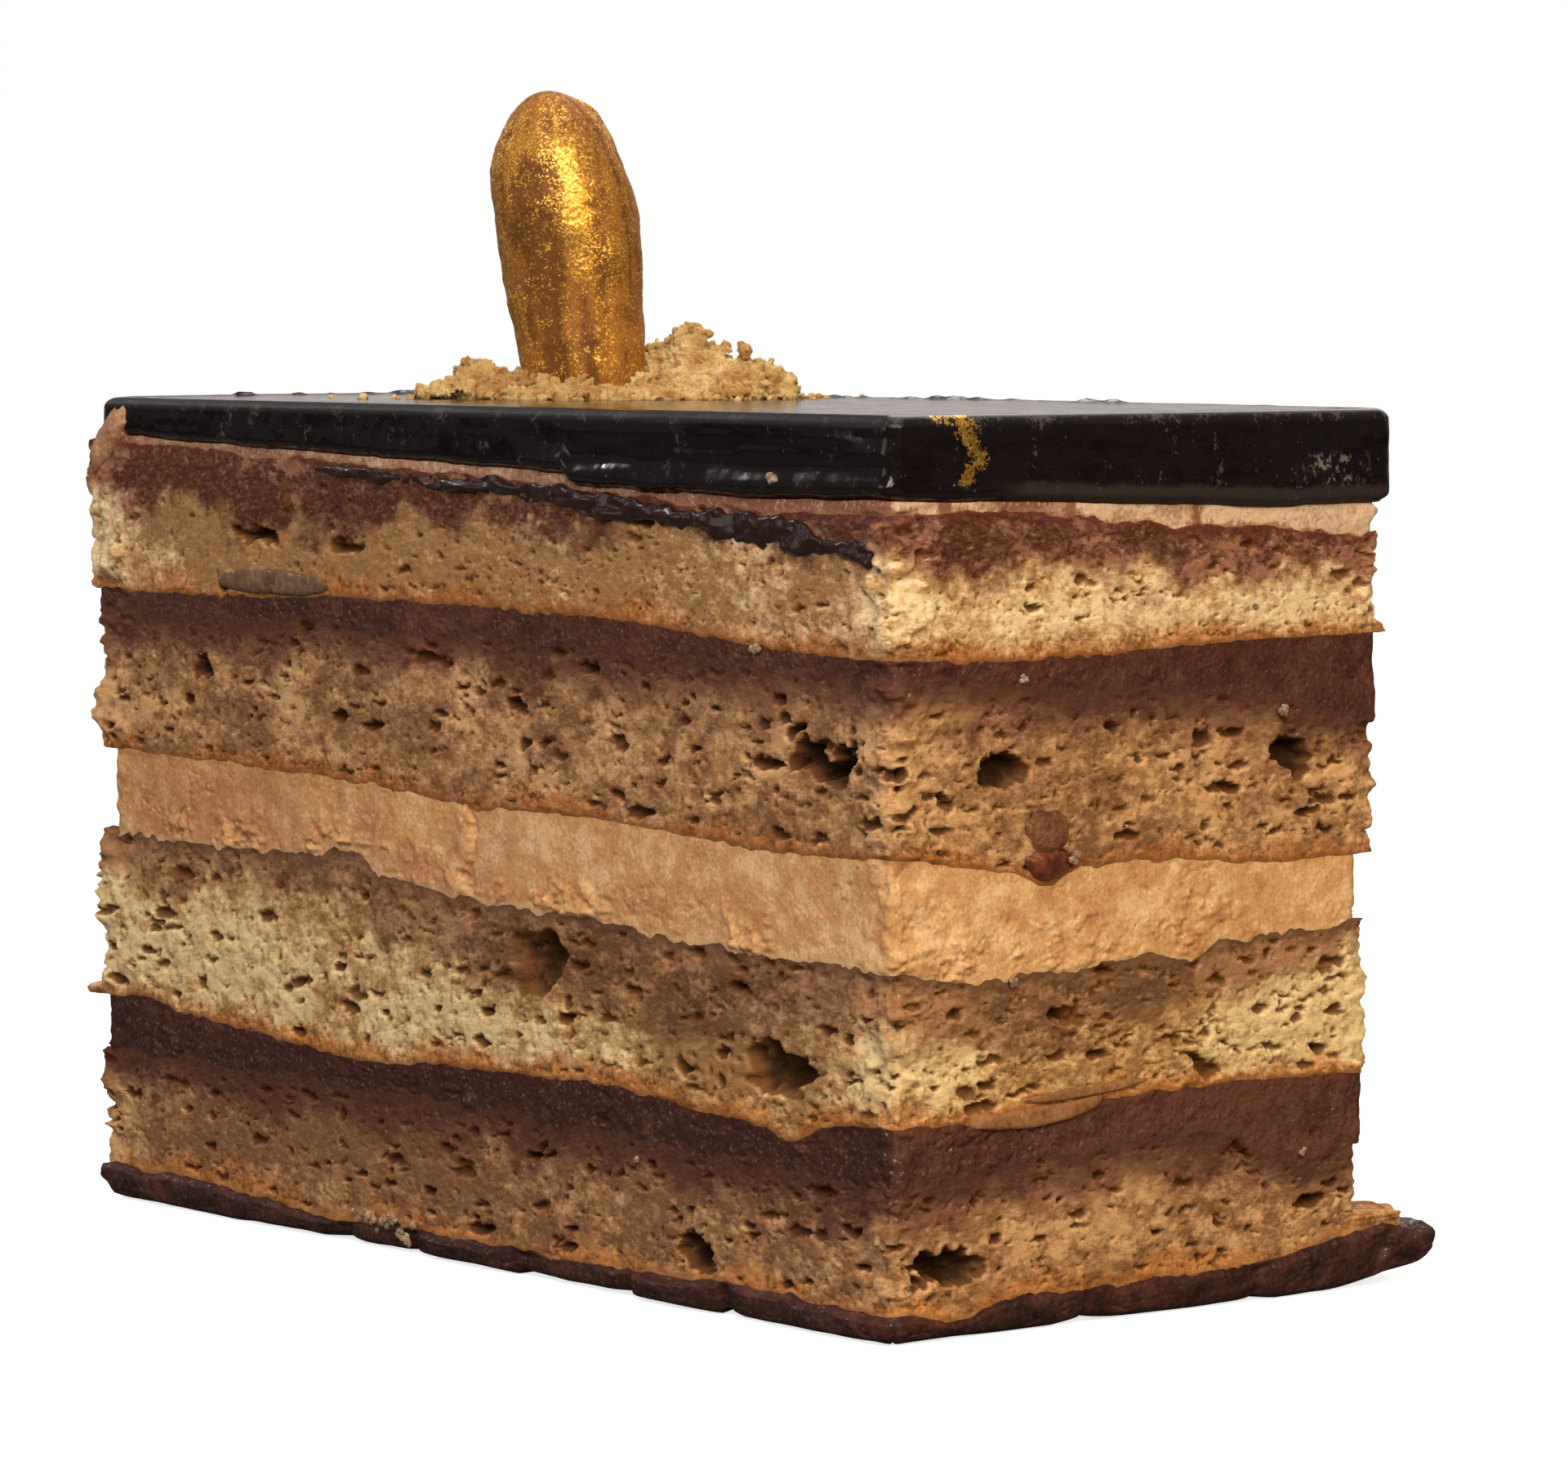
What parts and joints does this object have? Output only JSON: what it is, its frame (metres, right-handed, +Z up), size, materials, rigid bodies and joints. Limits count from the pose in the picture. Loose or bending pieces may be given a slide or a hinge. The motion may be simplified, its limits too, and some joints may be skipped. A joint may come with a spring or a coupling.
{
  "type": "opera cake slice",
  "caption": "Upright rectangular slice of layered coffee and chocolate sponge cake with a dark glaze, biscuit crumble and a gilded nut on top.",
  "frame": {"origin": "middle of the slice's footprint on the flat underside of the chocolate foot", "axes": "+Z up; +X along the slice's long side; the long cut face with the widest view of the layers looks towards -Y"},
  "size_m": [0.0896, 0.0453, 0.076],
  "materials": {
    "chocolate_foot": "thin set dark chocolate, dull and slightly rough",
    "sponge": "soaked almond sponge, open crumb with pores, browned on its lower face, fully matte",
    "sponge_pale": "pale almond sponge, open crumb with pores, coffee-soaked on top, fully matte",
    "ganache": "cut chocolate ganache, smooth and softly satin",
    "buttercream": "cut coffee buttercream, fine grained, softly satin",
    "glaze": "poured dark chocolate glaze, wet gloss with a frosted upper edge",
    "gold_nut": "brown kernel brushed with gold lustre dust",
    "crumble": "dry baked biscuit crumble, matte"
  },
  "bodies": {
    "root": {"chocolate_base": "chocolate_foot", "sponge_bottom": "sponge", "ganache_lower": "ganache", "sponge_lower_middle": "sponge_pale", "buttercream_middle": "buttercream", "sponge_upper_middle": "sponge", "ganache_upper": "ganache", "sponge_top": "sponge_pale", "buttercream_top": "buttercream", "chocolate_glaze": "glaze", "gilded_nut": "gold_nut", "crumble": "crumble"}
  },
  "joints": []
}
